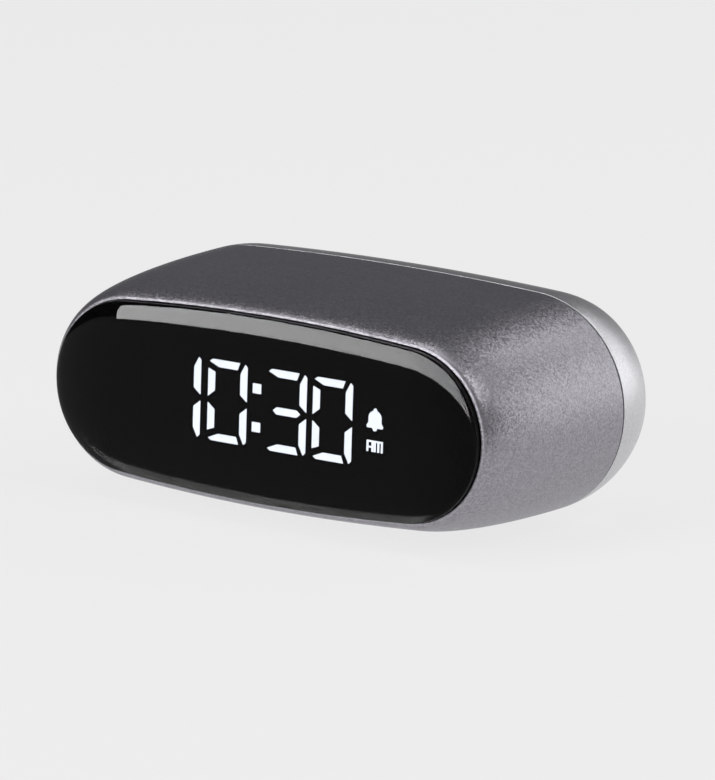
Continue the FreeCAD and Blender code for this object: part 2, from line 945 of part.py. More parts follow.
def cover_screws():
    sizes = (cover_screw_radius, cover_head_radius, cover_head_height, cover_screw_length)
    return group([screw(x, z, body_depth + post_seat, 1, *sizes) for x, z in cover_screw_places()])


# Rear board and what stands on it

def rear_plate(start, end):
    """Plate of the rear board's outline."""
    middle = (rear_board_left + rear_board_right) / 2
    width = rear_board_right - rear_board_left
    return rounded_plate(middle, 0, width, rear_board_height, rear_board_corner, start, end)


def rear_board():
    board = rear_plate(rear_board_front, rear_board_back)
    hole_radius = small_screw_radius + through_clearance
    for x, z in rear_screw_places():
        board = board.cut(rod(x, z, hole_radius, rear_board_front, rear_board_back))
    return board


def rear_board_chips():
    """Charging parts on the back of the rear board."""
    sizes = list(rear_chip_sizes)
    for index in range(filter_count):
        x = filter_first + filter_pitch * index
        sizes.append((x, filter_z, filter_width, filter_height, filter_thickness))
    return chips(rear_board_back, sizes)


def battery_tray():
    tray = rear_plate(tray_front, tray_back)
    for x, z in rear_screw_places():
        tray = tray.fuse(rod(x, z, rear_boss_radius, tray_back, rear_board_front))
    for x, z in rear_screw_places():
        tray = tray.cut(rod(x, z, small_screw_radius + through_clearance, tray_front, rear_board_front))
    for x, z in rear_screw_places():
        head_room = rod(x, z, small_head_radius + head_clearance, tray_front, tray_front + tray_plate / 2)
        tray = tray.cut(head_room)
    return tray.removeSplitter()


def rear_board_screws():
    head_height = tray_plate / 2
    sizes = (small_screw_radius, small_head_radius, head_height, rear_screw_length)
    return group([screw(x, z, tray_front + head_height, -1, *sizes) for x, z in rear_screw_places()])


def battery_cell():
    cell = centred_box(battery_centre, 0, battery_width, battery_height, battery_front, battery_back)
    return cell.makeFillet(battery_corner, cell.Edges)


def battery_tape_pad():
    margin = 2 * (battery_corner + battery_tape_margin)
    width = battery_width - margin
    height = min(battery_height, rear_board_height) - margin
    return centred_box(battery_centre, 0, width, height, battery_back, tray_front)


def landing_place():
    """Where the wires come down on the rear board, beside its left edge."""
    return rear_board_left - lead_side_gap + 2 * lead_bend + lead_straight


def battery_leads():
    """Two wires from the cell's side, round the rear board's edge, to its back."""
    start_x = battery_centre - battery_width / 2
    side_x = rear_board_left - lead_side_gap
    back = rear_board_back + lead_bend + lead_tail
    landing_x = landing_place()
    depth = battery_front + battery_lead_depth
    leads = []
    for index in range(2):
        z = battery_lead_z - index * battery_lead_pitch
        corners = [point(start_x, depth, z), point(side_x, depth, z), point(side_x, back, z)]
        corners += [point(landing_x, back, z), point(landing_x, rear_board_back, z)]
        leads.append(lead(corners, lead_radius, lead_bend))
    return group(leads)


def key_switches():
    """Housings of the three push switches, each with the well its plunger slides in."""
    housings = []
    end = rear_board_back + switch_depth
    for name, x in key_places():
        housing = centred_box(x, key_height, switch_side, switch_side, rear_board_back, end)
        well = rod(x, key_height, plunger_radius + plunger_clearance, end - plunger_well, end)
        housings.append(housing.cut(well))
    return group(housings)


def plunger(x):
    end = rear_board_back + switch_depth
    return rod(x, key_height, plunger_radius, end - plunger_sunk, end + plunger_proud)


def key_button(x):
    """Cap, retaining flange and stem of one rear key."""
    flange_back = cover_inside - key_flange_gap
    flange_front = flange_back - key_flange
    stem_front = rear_board_back + switch_depth + plunger_proud + key_stem_gap
    top = cover_back + key_proud
    cap = rod(x, key_height, key_cap_radius, flange_back, top)
    cap = cap.makeFillet(key_edge, level_edges(cap, top))
    flange = rod(x, key_height, key_flange_radius, flange_front, flange_back)
    stem = rod(x, key_height, key_stem_radius, stem_front, flange_front)
    return cap.fuse([flange, stem]).removeSplitter()


def alarm_switch_body():
    centre = slide_rest + slide_travel / 2
    end = rear_board_back + switch_depth
    housing = centred_box(centre, slide_height, slide_body_width, slide_body_height, rear_board_back, end)
    slot_width = lever_side + slide_travel + 2 * lever_slot_clearance
    slot_height = lever_side + 2 * lever_slot_clearance
    start = end - lever_slot_depth
    return housing.cut(centred_box(centre, slide_height, slot_width, slot_height, start, end))


def alarm_switch_lever():
    start = rear_board_back + switch_depth - lever_sunk
    end = knob_flange_front() + lever_reach
    return centred_box(slide_rest, slide_height, lever_side, lever_side, start, end)


def knob_flange_front():
    return cover_inside - key_flange_gap - key_flange


def alarm_switch_knob():
    """Knob with ridges across its top, a flange inside the cover and a pocket for the lever."""
    flange_front = knob_flange_front()
    flange_back = flange_front + key_flange
    top = cover_back + knob_proud
    x = slide_rest
    z = slide_height
    neck = centred_box(x, z, knob_width, knob_height, flange_back, top)
    flange = centred_box(x, z, knob_flange_width, knob_flange_height, flange_front, flange_back)
    knob = neck.fuse(flange)
    pitch = knob_width / (knob_groove_count + 1)
    for index in range(knob_groove_count):
        groove_x = x - knob_width / 2 + pitch * (index + 1)
        knob = knob.cut(centred_box(groove_x, z, knob_groove, 2 * knob_height, top - knob_groove, top))
    pocket_side = lever_side + 2 * knob_clearance
    pocket = centred_box(x, z, pocket_side, pocket_side, flange_front, flange_front + knob_pocket)
    return knob.cut(pocket).removeSplitter()


def usb_socket():
    end = cover_back - inlet_recess
    shell = rounded_slot(inlet_x, inlet_z, inlet_width, inlet_height, rear_board_back, end)
    hollow = rounded_slot(inlet_x, inlet_z, inlet_width - 2 * inlet_wall, inlet_height - 2 * inlet_wall,
                          rear_board_back + inlet_floor, end)
    return shell.cut(hollow)


def usb_tongue():
    end = cover_back - inlet_recess - tongue_recess
    return centred_box(inlet_x, inlet_z, tongue_width, tongue_thickness, rear_board_back + inlet_floor, end)


# Speaker

def speaker_frame():
    """Flanged basket with its magnet at the front."""
    back = cover_inside - gasket_thickness
    flange_front = back - speaker_flange
    basket_front = flange_front - speaker_basket
    magnet_front = basket_front - magnet_depth
    inner = speaker_radius - speaker_rim
    floor = basket_front + basket_floor
    profile = [
        (0, magnet_front), (magnet_radius, magnet_front), (magnet_radius, basket_front),
        (inner, flange_front), (speaker_radius, flange_front), (speaker_radius, back),
        (inner, back), (inner, flange_front + basket_step), (magnet_radius - basket_wall, floor), (0, floor),
    ]
    return turned(profile, speaker_x, 0)


def speaker_cone():
    """Shallow cone with a domed cap at its middle."""
    back = cover_inside - gasket_thickness
    outer = speaker_radius - speaker_rim
    deep = back - cone_drop
    shoulder = deep + cap_shoulder_rise
    profile = [
        (0, deep - cone_thickness), (cap_radius, deep - cone_thickness), (outer, back - cone_thickness),
        (outer, back), (cap_radius, deep), (cap_shoulder_radius, shoulder), (0, deep + cap_rise),
    ]
    return turned(profile, speaker_x, 0)


def speaker_gasket():
    start = cover_inside - gasket_thickness
    return ring(speaker_x, 0, speaker_radius, speaker_radius - gasket_width, start, cover_inside)


def speaker_leads():
    """Two wires from the speaker's basket to the back of the rear board."""
    back_of_flange = cover_inside - gasket_thickness - speaker_flange
    run_depth = cover_inside - holder_reach - holder_lead_gap - lead_radius
    slope = (speaker_radius - speaker_rim - magnet_radius) / speaker_basket
    basket_radius = magnet_radius + slope * (run_depth + lead_radius - back_of_flange + speaker_basket)
    landing_x = landing_place()
    leads = []
    for index in range(2):
        z = speaker_lead_z - index * speaker_lead_pitch
        start_x = speaker_x + math.sqrt(basket_radius ** 2 - (abs(z) - lead_radius) ** 2) + speaker_lead_gap
        corners = [point(start_x, run_depth, z), point(landing_x, run_depth, z)]
        corners.append(point(landing_x, rear_board_back, z))
        leads.append(lead(corners, lead_radius, lead_bend))
    return group(leads)


# Ribbon between the boards

def main_plug_top():
    return board_height / 2 - plug_inset


def rear_plug_top():
    return rear_board_height / 2 - plug_inset


def ribbon_plugs():
    """Sockets on the back of both boards that hold the ribbon's ends."""
    width = ribbon_width + 2 * plug_margin
    plugs = []
    for top, start in ((main_plug_top(), board_back), (rear_plug_top(), rear_board_back)):
        middle = top - plug_height / 2
        plugs.append(centred_box(ribbon_x, middle, width, plug_height, start, start + plug_depth))
    return group(plugs)


def ribbon_cable():
    """Flat cable from the main board's socket, over the battery, to the rear board's."""
    top = battery_height / 2 + ribbon_rise
    main_depth = board_back + plug_depth / 2
    rear_depth = rear_board_back + plug_depth / 2
    corners = [point(ribbon_x, main_depth, main_plug_top()), point(ribbon_x, main_depth, top)]
    corners += [point(ribbon_x, rear_depth, top), point(ribbon_x, rear_depth, rear_plug_top())]
    left = ribbon_x - ribbon_width / 2
    right = ribbon_x + ribbon_width / 2
    front = main_depth - ribbon_thickness / 2
    back = main_depth + ribbon_thickness / 2
    places = [(left, front), (right, front), (right, back), (left, back)]
    ends = [point(x, depth, main_plug_top()) for x, depth in places]
    section = Part.makePolygon(ends + ends[:1])
    return bent_path(corners, ribbon_bend).makePipeShell([section], True, False)


os.makedirs("parts", exist_ok=True)

PIECES = {
    "body_shell": body_shell,
    "foot_pad": foot_pad,
    "front_lens": front_lens,
    "lens_mask": lens_mask,
    "lens_tape": lens_tape,
    "lcd_glass": lcd_glass,
    "backlight": backlight,
    "time_digits": time_digits,
    "colon_dots": colon_dots,
    "alarm_icon": alarm_icon,
    "morning_mark": morning_mark,
    "lcd_pins": lcd_pins,
    "display_carrier": display_carrier,
    "main_board": main_board,
    "main_board_chips": main_board_chips,
    "board_screws": board_screws,
    "rear_cover": rear_cover,
    "cover_screws": cover_screws,
    "rear_board": rear_board,
    "rear_board_chips": rear_board_chips,
    "rear_board_screws": rear_board_screws,
    "battery_tray": battery_tray,
    "battery_tape": battery_tape_pad,
    "battery_cell": battery_cell,
    "battery_leads": battery_leads,
    "key_switches": key_switches,
    "alarm_switch_body": alarm_switch_body,
    "alarm_switch_lever": alarm_switch_lever,
    "alarm_switch_knob": alarm_switch_knob,
    "usb_socket": usb_socket,
    "usb_tongue": usb_tongue,
    "speaker_frame": speaker_frame,
    "speaker_cone": speaker_cone,
    "speaker_gasket": speaker_gasket,
    "speaker_leads": speaker_leads,
    "ribbon_plugs": ribbon_plugs,
    "ribbon_cable": ribbon_cable,
}

for node, make in PIECES.items():
    save(node, make())

for key, place in key_places():
    save(key + "_button", key_button(place))
    save(key + "_plunger", plunger(place))
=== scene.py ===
import json
import math

import bmesh
import bpy
from mathutils import Matrix, Vector


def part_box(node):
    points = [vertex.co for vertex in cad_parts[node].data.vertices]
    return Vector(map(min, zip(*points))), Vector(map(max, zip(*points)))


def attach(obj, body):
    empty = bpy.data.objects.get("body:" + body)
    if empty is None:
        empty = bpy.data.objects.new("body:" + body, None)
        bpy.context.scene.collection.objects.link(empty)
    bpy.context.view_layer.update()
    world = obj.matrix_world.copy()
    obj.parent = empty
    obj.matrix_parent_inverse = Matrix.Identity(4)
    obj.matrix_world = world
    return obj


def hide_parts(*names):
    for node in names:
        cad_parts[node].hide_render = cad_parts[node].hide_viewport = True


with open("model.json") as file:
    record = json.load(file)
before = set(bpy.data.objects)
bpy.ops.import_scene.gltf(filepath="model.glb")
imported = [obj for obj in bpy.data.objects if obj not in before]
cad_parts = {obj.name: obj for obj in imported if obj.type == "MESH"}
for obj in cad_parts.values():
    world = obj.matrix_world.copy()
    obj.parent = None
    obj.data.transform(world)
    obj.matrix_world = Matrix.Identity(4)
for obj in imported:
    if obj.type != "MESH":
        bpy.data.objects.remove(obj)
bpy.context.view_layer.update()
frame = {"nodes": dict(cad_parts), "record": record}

# Pill-shaped digital alarm clock
# Sizes are in millimetres. Depths are measured back from the front rim, heights from the mid line.
MM = 0.001

# Form of the case
front_roundness = 0.93
case_roundness = 0.962
cover_side_draw = 3.6
cover_top_draw = 3.0
cover_edge_radius = 2.5
cover_edge_start = math.radians(24.0)
wall = 2.0
rim_lip = 0.25
rim_fillet = 0.08
lens_gap = 0.15
lens_side = 1.0
lens_crown_width = 12.0
lens_edge_ease = 0.25
lens_seat = 1.9
seat_width = 3.0
seat_wall = 1.5
parting_fillet = 0.08
reveal_width = 0.35
reveal_depth = 0.45
spigot_reach = 3.0
spigot_inset = 2.12
spigot_wall = 1.2
shoulder_depth = 2.0
print_gap = 0.02
ring_points = 256
axis_radius = 0.01
end_slack = 0.01
cutter_reach = 1.0
merge_distance = 1e-7

# Openings of the rear cover
hole_flare = 0.18
slide_slot_corner = 0.25
key_hole_radius = 3.65
key_cap_radius = 3.5
key_flange_radius = 4.5
key_flange = 1.0
key_flange_gap = 0.1
key_stem_radius = 1.4
key_proud = 0.8
key_fillet = 0.35
key_dish = 0.25
key_face_edge = 0.15
mark_depth = 0.15
arrow_size = 1.15
arrow_tail_share = 0.75
dot_radius = 0.7
slide_rest = 21.5
slide_travel = 3.0
slide_height = -7.0
slide_clearance = 0.1
knob_width = 3.6
knob_height = 2.6
knob_proud = 0.6
knob_flange_width = 9.0
knob_ridges = 4
ridge_ease = 0.12
ridge_groove = 0.3
knob_edge_bevel = 0.08
inlet_x = 11.0
inlet_z = -7.0
inlet_width = 8.94
inlet_height = 3.16
inlet_wall = 0.3
inlet_recess = 0.3
inlet_clearance = 0.2
inlet_floor = 1.8
inlet_outer_ease = 0.1
inlet_inner_ease = 0.08
speaker_x = -25.0
grille_rings = 3
grille_pitch = 2.2
grille_radius = 0.65
screw_x = 40.5
screw_clearance = 0.2
screw_seat = 1.8
screw_radius = 1.25
screw_head_radius = 2.2
screw_head_height = 1.5
screw_length = 10.0
screw_crown = 0.45
screw_tip_ease = 0.3
screw_tip_length = 0.4
cross_reach = 1.3
cross_half_width = 0.24
cross_depth = 0.9
cross_foot_share = 0.7
cross_corner = 0.1
cross_overshoot = 0.5
tube_wall = 1.0
tube_sunk = 0.5

# Foot pad
pad_clearance = 0.1
pad_fillet = 0.2

# Places read from the frame
shell_low, shell_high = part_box("body_shell")
lens_low, lens_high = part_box("front_lens")
cover_back_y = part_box("rear_cover")[1][1] / MM
pad_low, pad_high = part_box("foot_pad")
inlet_front_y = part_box("usb_socket")[0][1] / MM
case_width = (shell_high[0] - shell_low[0]) / MM
body_depth = (shell_high[1] - shell_low[1]) / MM
rim_y = shell_low[1] / MM
mid_z = (lens_low[2] + lens_high[2]) / 2 / MM
case_height = 2 * (shell_high[2] / MM - mid_z)
front_width = (lens_high[0] - lens_low[0]) / MM + 2 * (rim_lip + lens_gap)
front_height = (lens_high[2] - lens_low[2]) / MM + 2 * (rim_lip + lens_gap)
cover_back = cover_back_y - rim_y
cover_depth = cover_back - body_depth
cover_inside = cover_back - wall
lens_back = lens_high[1] / MM - rim_y - print_gap
lens_crown = rim_y - lens_low[1] / MM - lens_side


def place(x, depth, height):
    """A point of the case, in metres in the frame."""
    return Vector((x * MM, (rim_y + depth) * MM, (mid_z + height) * MM))


def even_steps(start, end, count):
    return [start + (end - start) * step / count for step in range(count + 1)]


# Sums written with nodes

class Sum:
    """A number made by math nodes."""

    def __init__(self, tree, socket):
        self.tree = tree
        self.socket = socket

    def step(self, operation, *others):
        node = self.tree.nodes.new("ShaderNodeMath")
        node.operation = operation
        for entry, value in zip(node.inputs, (self,) + others):
            if isinstance(value, Sum):
                self.tree.links.new(value.socket, entry)
            else:
                entry.default_value = value
        return Sum(self.tree, node.outputs[0])

    def __add__(self, other):
        return self.step("ADD", other)

    def __sub__(self, other):
        return self.step("SUBTRACT", other)

    def __mul__(self, other):
        return self.step("MULTIPLY", other)

    def __truediv__(self, other):
        return self.step("DIVIDE", other)

    def taken_from(self, other):
        return self.step("MULTIPLY", -1.0).step("ADD", other)

    def root(self):
        return self.step("SQRT")

    def sine(self):
        return self.step("SINE")

    def cosine(self):
        return self.step("COSINE")

    def whole(self):
        return self.step("FLOOR")

    def at_least(self, low):
        return self.step("MAXIMUM", low)

    def at_most(self, high):
        return self.step("MINIMUM", high)

    def angle_over(self, other):
        return self.step("ARCTAN2", other)


def geometry_tree(name, inputs):
    """A geometry tree with named number inputs, and those inputs as sums."""
    tree = bpy.data.node_groups.new(name, "GeometryNodeTree")
    tree.interface.new_socket("Geometry", in_out="INPUT", socket_type="NodeSocketGeometry")
    for label, value in inputs.items():
        entry = tree.interface.new_socket(label, in_out="INPUT", socket_type="NodeSocketFloat")
        entry.default_value = value
    tree.interface.new_socket("Material", in_out="INPUT", socket_type="NodeSocketMaterial")
    tree.interface.new_socket("Geometry", in_out="OUTPUT", socket_type="NodeSocketGeometry")
    start = tree.nodes.new("NodeGroupInput")
    return tree, start, {label: Sum(tree, start.outputs[label]) for label in inputs}


def end_tree(tree, start, geometry):
    """Closes a tree: real meshes only, in the given material."""
    real = tree.nodes.new("GeometryNodeRealizeInstances")
    dress = tree.nodes.new("GeometryNodeSetMaterial")
    end = tree.nodes.new("NodeGroupOutput")
    tree.links.new(geometry, real.inputs["Geometry"])
    tree.links.new(real.outputs["Geometry"], dress.inputs["Geometry"])
    tree.links.new(start.outputs["Material"], dress.inputs["Material"])
    tree.links.new(dress.outputs["Geometry"], end.inputs["Geometry"])
    return tree


def run_tree(piece, tree, material, **values):
    """Runs a geometry tree on a piece and keeps the result as its plain mesh."""
    work = piece.modifiers.new(tree.name, "NODES")
    work.node_group = tree
    for entry in tree.interface.items_tree:
        if entry.in_out == "INPUT" and entry.name == "Material":
            work[entry.identifier] = material
        elif entry.in_out == "INPUT" and entry.name in values:
            work[entry.identifier] = values[entry.name]
    keep_result(piece)


def keep_result(piece):
    """Turns a piece's live modifiers into its mesh."""
    view = bpy.context.evaluated_depsgraph_get()
    view.update()
    mesh = bpy.data.meshes.new_from_object(piece.evaluated_get(view))
    piece.modifiers.clear()
    piece.data = mesh
    mesh.name = piece.name


def swept_tree():
    """The form law: an oval of two end arcs and two flat arcs at each depth of the case."""
    tree, start, size = geometry_tree("oval_form", {
        "Front width": front_width, "Front height": front_height, "Front roundness": front_roundness,
        "Case width": case_width, "Case height": case_height, "Case roundness": case_roundness,
        "Body depth": body_depth, "Cover depth": cover_depth,
        "Cover side draw": cover_side_draw, "Cover top draw": cover_top_draw,
    })

    def carried(name):
        node = tree.nodes.new("GeometryNodeInputNamedAttribute")
        node.data_type = "FLOAT"
        node.inputs["Name"].default_value = name
        return Sum(tree, node.outputs["Attribute"])

    section = carried("section")
    rest = (section / size["Body depth"]).at_least(0.0).at_most(1.0).taken_from(1.0)
    swell = (rest * rest).taken_from(1.0).at_least(0.0).root()
    past = (section - size["Body depth"]).at_least(0.0) / size["Cover depth"]
    draw = past * past
    wide = size["Front width"] + (size["Case width"] - size["Front width"]) * swell
    high = size["Front height"] + (size["Case height"] - size["Front height"]) * swell
    roundness = size["Front roundness"] + (size["Case roundness"] - size["Front roundness"]) * swell
    half_width = wide * 0.5 - size["Cover side draw"] * draw
    half_height = high * 0.5 - size["Cover top draw"] * draw
    end_radius = roundness * half_height
    end_x = half_width - end_radius
    flat_radius = ((end_x * end_x + half_height * half_height - end_radius * end_radius)
                   / ((half_height - end_radius) * 2.0))
    drop = flat_radius - half_height
    turn = drop.angle_over(end_x)
    quarters = carried("way_round") * 4.0
    quarter = quarters.whole()
    along = quarters - quarter
    half = (quarter * 0.5).whole()
    flat = quarter - half * 2.0
    end_angle = turn * (along * 2.0 - 1.0)
    flat_angle = turn + (turn * 2.0).taken_from(math.pi) * along
    angle = end_angle + (flat_angle - end_angle) * flat + half * math.pi
    radius = end_radius + (flat_radius - end_radius) * flat - carried("inset")
    side = (half * 2.0).taken_from(1.0)
    x = end_x * side * flat.taken_from(1.0) + radius * angle.cosine()
    height = radius * angle.sine() - drop * side * flat
    join = tree.nodes.new("ShaderNodeCombineXYZ")
    for entry, value in zip(join.inputs, (x * MM, (carried("depth") + rim_y) * MM, (height + mid_z) * MM)):
        tree.links.new(value.socket, entry)
    move = tree.nodes.new("GeometryNodeSetPosition")
    tree.links.new(start.outputs["Geometry"], move.inputs["Geometry"])
    tree.links.new(join.outputs[0], move.inputs["Position"])
    return end_tree(tree, start, move.outputs["Geometry"])


def new_piece(name, mesh):
    piece = bpy.data.objects.new(name, mesh)
    bpy.context.scene.collection.objects.link(piece)
    return piece


def ring_faces(rings, points, closed):
    """Faces between rings that each have the same number of points, with flat ends unless closed."""
    faces = []
    pairs = list(zip(range(rings), range(1, rings)))
    if closed:
        pairs.append((rings - 1, 0))
    for here, there in pairs:
        for step in range(points):
            after = (step + 1) % points
            near = (here * points + step, here * points + after)
            far = (there * points + after, there * points + step)
            faces.append(near + far)
    if not closed:
        faces.append(tuple(reversed(range(points))))
        faces.append(tuple((rings - 1) * points + step for step in range(points)))
    return faces


def finish_mesh(piece, sharp=math.radians(35.0)):
    """Merges doubles, points the faces outwards and shades the curved ones smooth."""
    work = bmesh.new()
    work.from_mesh(piece.data)
    bmesh.ops.remove_doubles(work, verts=work.verts, dist=merge_distance)
    bmesh.ops.recalc_face_normals(work, faces=work.faces)
    work.to_mesh(piece.data)
    work.free()
    for name in ("way_round", "section", "depth", "inset"):
        if name in piece.data.attributes:
            piece.data.attributes.remove(piece.data.attributes[name])
    piece.data.shade_smooth()
    piece.data.set_sharp_from_angle(angle=sharp)
    return piece


def oval_piece(name, rows, closed, tree, material):
    """A piece of the case's form, from rows of (section, depth, inset) across its wall."""
    mesh = bpy.data.meshes.new(name)
    corners = [(step, row, 0.0) for row in range(len(rows)) for step in range(ring_points)]
    mesh.from_pydata(corners, [], ring_faces(len(rows), ring_points, closed))
    values = {
        "way_round": [step / ring_points for row in rows for step in range(ring_points)],
        "section": [row[0] for row in rows for step in range(ring_points)],
        "depth": [row[1] for row in rows for step in range(ring_points)],
        "inset": [row[2] for row in rows for step in range(ring_points)],
    }
    for label, numbers in values.items():
        mesh.attributes.new(label, "FLOAT", "POINT").data.foreach_set("value", numbers)
    piece = new_piece(name, mesh)
    run_tree(piece, tree, material)
    return finish_mesh(piece)


def ringed_piece(name, rings, material, closed=False, sharp=math.radians(35.0)):
    """A piece from rings of points, in metres."""
    mesh = bpy.data.meshes.new(name)
    corners = [tuple(point) for ring in rings for point in ring]
    mesh.from_pydata(corners, [], ring_faces(len(rings), len(rings[0]), closed))
    mesh.materials.append(material)
    return finish_mesh(new_piece(name, mesh), sharp)


def rounded_outline(half_width, half_height, corner, steps=12):
    """Rectangle with rounded corners, as (across, up) points."""
    points = []
    for quarter in range(4):
        across = (half_width - corner) * (1 if quarter in (0, 3) else -1)
        up = (half_height - corner) * (1 if quarter in (0, 1) else -1)
        for step in range(steps + 1):
            angle = (quarter + step / steps) * math.pi / 2
            points.append((across + corner * math.cos(angle), up + corner * math.sin(angle)))
    return points


def turned_rings(profile, x, z, steps=64):
    """Rings about the depth axis from (radius, depth) pairs."""
    turns = [2 * math.pi * step / steps for step in range(steps)]
    return [[place(x + radius * math.cos(turn), depth, z + radius * math.sin(turn)) for turn in turns]
            for radius, depth in profile]


def cut(piece, cutters):
    """Cuts other pieces out of a piece and removes them."""
    for cutter in cutters:
        work = piece.modifiers.new("cut", "BOOLEAN")
        work.operation = "DIFFERENCE"
        work.solver = "EXACT"
        work.object = cutter
    keep_result(piece)
    for cutter in cutters:
        bpy.data.objects.remove(cutter)


# Shader groups shared by the materials

def shader_group(name, inputs, outputs):
    tree = bpy.data.node_groups.new(name, "ShaderNodeTree")
    for label, value in inputs.items():
        tree.interface.new_socket(label, in_out="INPUT", socket_type="NodeSocketFloat").default_value = value
    for label, kind in outputs.items():
        tree.interface.new_socket(label, in_out="OUTPUT", socket_type=kind)
    return tree, tree.nodes.new("NodeGroupInput"), tree.nodes.new("NodeGroupOutput")


def grain_group():
    """Fine moulded grain with broad soft patches: a tone from 0 to 1 and a height."""
    tree, start, end = shader_group("surface_grain", {"Grain size": 0.3, "Patch size": 12.0},
                                    {"Tone": "NodeSocketFloat", "Height": "NodeSocketFloat"})
    where = tree.nodes.new("ShaderNodeTexCoord")
    fine = noise(tree, where, Sum(tree, start.outputs["Grain size"]))
    broad = noise(tree, where, Sum(tree, start.outputs["Patch size"]))
    tone = Sum(tree, fine) * 0.5 + Sum(tree, broad) * 0.5
    tree.links.new(tone.socket, end.inputs["Tone"])
    tree.links.new(fine, end.inputs["Height"])
    return tree


def noise(tree, where, size, detail=2.0):
    """Noise on the object's own coordinates, with features of a size in millimetres."""
    scale = size.step("MULTIPLY", MM).step("POWER", -1.0)
    node = tree.nodes.new("ShaderNodeTexNoise")
    node.inputs["Detail"].default_value = detail
    tree.links.new(where.outputs["Object"], node.inputs["Vector"])
    tree.links.new(scale.socket, node.inputs["Scale"])
    return node.outputs[0]


def flake_group():
    """Metal flakes in paint: each small cell leans its own way and has its own tone."""
    tree, start, end = shader_group("metal_flakes", {"Flake size": 0.2, "Lean": 0.1},
                                    {"Tone": "NodeSocketFloat", "Normal": "NodeSocketVector"})
    where = tree.nodes.new("ShaderNodeTexCoord")
    cells = tree.nodes.new("ShaderNodeTexVoronoi")
    scale = Sum(tree, start.outputs["Flake size"]).step("MULTIPLY", MM).step("POWER", -1.0)
    tree.links.new(where.outputs["Object"], cells.inputs["Vector"])
    tree.links.new(scale.socket, cells.inputs["Scale"])
    centred = vector_step(tree, "SUBTRACT", cells.outputs["Color"], (0.5, 0.5, 0.5))
    lean = vector_step(tree, "SCALE", centred, start.outputs["Lean"])
    surface = tree.nodes.new("ShaderNodeNewGeometry")
    tipped = vector_step(tree, "NORMALIZE", vector_step(tree, "ADD", surface.outputs["Normal"], lean))
    parts = tree.nodes.new("ShaderNodeSeparateColor")
    tree.links.new(cells.outputs["Color"], parts.inputs["Color"])
    tree.links.new(parts.outputs[0], end.inputs["Tone"])
    tree.links.new(tipped, end.inputs["Normal"])
    return tree


def vector_step(tree, operation, first, second=None):
    node = tree.nodes.new("ShaderNodeVectorMath")
    node.operation = operation
    tree.links.new(first, node.inputs[0])
    if operation == "SCALE":
        tree.links.new(second, node.inputs["Scale"])
    elif isinstance(second, tuple):
        node.inputs[1].default_value = second
    elif second is not None:
        tree.links.new(second, node.inputs[1])
    return node.outputs[0]


GRAIN = grain_group()
FLAKES = flake_group()


def new_material(name, **settings):
    """A material with its Principled shader, whose plain sockets are set by name."""
    material = bpy.data.materials.new(name)
    material.use_nodes = True
    shader = material.node_tree.nodes["Principled BSDF"]
    for label, value in settings.items():
        shader.inputs[label.replace("_", " ")].default_value = value
    return material, material.node_tree, shader


def placed_group(tree, group, **values):
    node = tree.nodes.new("ShaderNodeGroup")
    node.node_tree = group
    for label, value in values.items():
        node.inputs[label.replace("_", " ")].default_value = value
    return node


def blend_colours(tree, share, dark, light):
    """Colour between a dark and a light one, by a share from 0 to 1."""
    node = tree.nodes.new("ShaderNodeMix")
    node.data_type = "RGBA"
    node.inputs["A"].default_value = dark + (1.0,)
    node.inputs["B"].default_value = light + (1.0,)
    tree.links.new(share, node.inputs["Factor"])
    return node.outputs["Result"]


def around(colour, spread):
    """The darkest and the lightest tone of a colour that varies by a share of itself."""
    return [tuple(channel * (1.0 + sign * spread) for channel in colour) for sign in (-1, 1)]


def paint(name, colour, roughness, flake_size, lean, spread, **settings):
    """Metallic paint: flakes that lean and vary in tone, under broad soft patches of gloss."""
    material, tree, shader = new_material(name, Metallic=1.0, **settings)
    flakes = placed_group(tree, FLAKES, Flake_size=flake_size, Lean=lean)
    grain = placed_group(tree, GRAIN, Grain_size=0.5, Patch_size=14.0)
    tone = blend_colours(tree, flakes.outputs["Tone"], *around(colour, spread))
    tree.links.new(tone, shader.inputs["Base Color"])
    rough = Sum(tree, grain.outputs["Tone"]) * 0.08 + (roughness - 0.04)
    tree.links.new(rough.socket, shader.inputs["Roughness"])
    tree.links.new(flakes.outputs["Normal"], shader.inputs["Normal"])
    return material


def moulded(name, colour, roughness, grain_size=0.3, depth=0.004, spread=0.08, **settings):
    """Plain moulded, plated or printed finish: slight tone, gloss and fine grain."""
    material, tree, shader = new_material(name, **settings)
    grain = placed_group(tree, GRAIN, Grain_size=grain_size, Patch_size=9.0)
    tone = blend_colours(tree, grain.outputs["Tone"], *around(colour, spread))
    tree.links.new(tone, shader.inputs["Base Color"])
    rough = Sum(tree, grain.outputs["Tone"]) * 0.1 + (roughness - 0.05)
    tree.links.new(rough.socket, shader.inputs["Roughness"])
    bump = tree.nodes.new("ShaderNodeBump")
    bump.inputs["Distance"].default_value = depth * MM
    tree.links.new(grain.outputs["Height"], bump.inputs["Height"])
    tree.links.new(bump.outputs["Normal"], shader.inputs["Normal"])
    return material


def lit_material(name, colour, strength):
    """Lit strokes: an even white with a faint cool mottle."""
    material, tree, shader = new_material(name, Roughness=0.6)
    grain = placed_group(tree, GRAIN, Grain_size=0.8, Patch_size=6.0)
    dark = tuple(channel * 0.96 for channel in colour)
    tone = blend_colours(tree, grain.outputs["Tone"], dark, colour)
    tree.links.new(tone, shader.inputs["Base Color"])
    tree.links.new(tone, shader.inputs["Emission Color"])
    shader.inputs["Emission Strength"].default_value = strength
    return material


